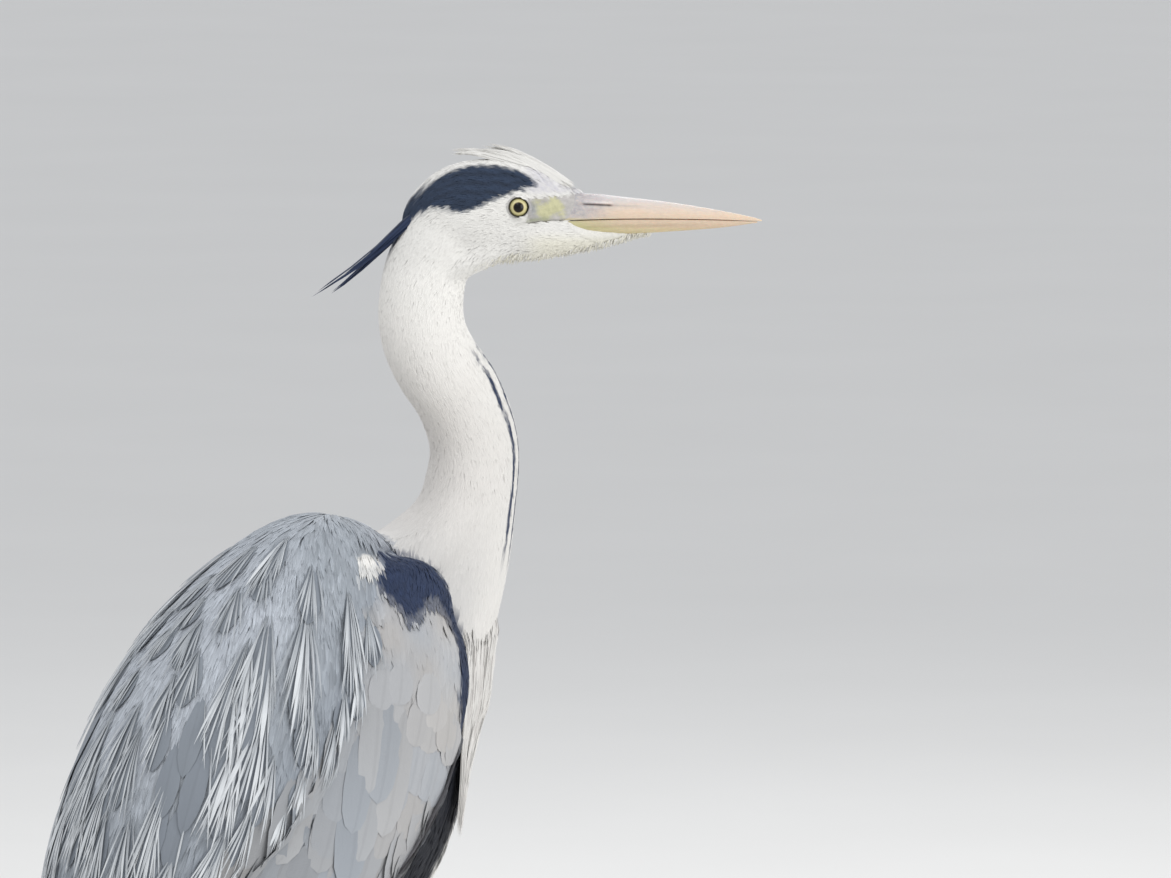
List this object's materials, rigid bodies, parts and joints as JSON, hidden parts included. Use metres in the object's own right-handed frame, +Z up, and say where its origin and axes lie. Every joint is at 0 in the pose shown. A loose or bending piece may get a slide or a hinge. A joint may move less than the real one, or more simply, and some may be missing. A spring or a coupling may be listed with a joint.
{
  "type": "grey heron",
  "caption": "Life-size standing grey heron with its neck raised in an S, its head turned in profile, folded wings and long plumes.",
  "frame": {"origin": "on the floor, under the middle of the bird's outline seen from above", "axes": "+Z up; +X the way the trunk and toes point; +Y the bird's left"},
  "size_m": [0.5056, 0.2432, 0.852],
  "materials": {
    "white_plumage": "matt, fine and soft",
    "neck_plumage": "matt, fine and soft",
    "back_plumage": "matt, finely streaked",
    "covert_plumage": "matt, smooth",
    "flight_plumage": "satin",
    "dark_plumage": "satin",
    "plume_plumage": "silky",
    "bill_horn": "smooth horn",
    "eyeball": "wet gloss",
    "leg_scutes": "scaled skin",
    "claw_horn": "horn"
  },
  "bodies": {
    "root": {"bill_lower": "bill_horn", "bill_upper": "bill_horn", "breast_plumes": "plume_plumage", "claw_left_hind": "claw_horn", "claw_left_inner": "claw_horn", "claw_left_middle": "claw_horn", "claw_left_outer": "claw_horn", "claw_right_hind": "claw_horn", "claw_right_inner": "claw_horn", "claw_right_middle": "claw_horn", "claw_right_outer": "claw_horn", "crown_tuft_rear": "plume_plumage", "crown_tuft_upper": "plume_plumage", "eye_left": "eyeball", "eye_right": "eyeball", "head": "white_plumage", "nape_plume_left": "dark_plumage", "nape_plume_right": "dark_plumage", "neck_lower": "neck_plumage", "neck_middle": "neck_plumage", "neck_upper": "neck_plumage", "scapulars_left": "back_plumage", "scapulars_right": "back_plumage", "shin_left": "leg_scutes", "shin_right": "leg_scutes", "tail": "back_plumage", "tarsus_left": "leg_scutes", "tarsus_right": "leg_scutes", "thigh_left": "white_plumage", "thigh_right": "white_plumage", "toe_left_hind": "leg_scutes", "toe_left_inner": "leg_scutes", "toe_left_middle": "leg_scutes", "toe_left_outer": "leg_scutes", "toe_right_hind": "leg_scutes", "toe_right_inner": "leg_scutes", "toe_right_middle": "leg_scutes", "toe_right_outer": "leg_scutes", "trunk": "white_plumage", "wing_left_coverts": "covert_plumage", "wing_left_primaries": "flight_plumage", "wing_left_secondaries": "flight_plumage", "wing_right_coverts": "covert_plumage", "wing_right_primaries": "flight_plumage", "wing_right_secondaries": "flight_plumage"}
  },
  "joints": []
}
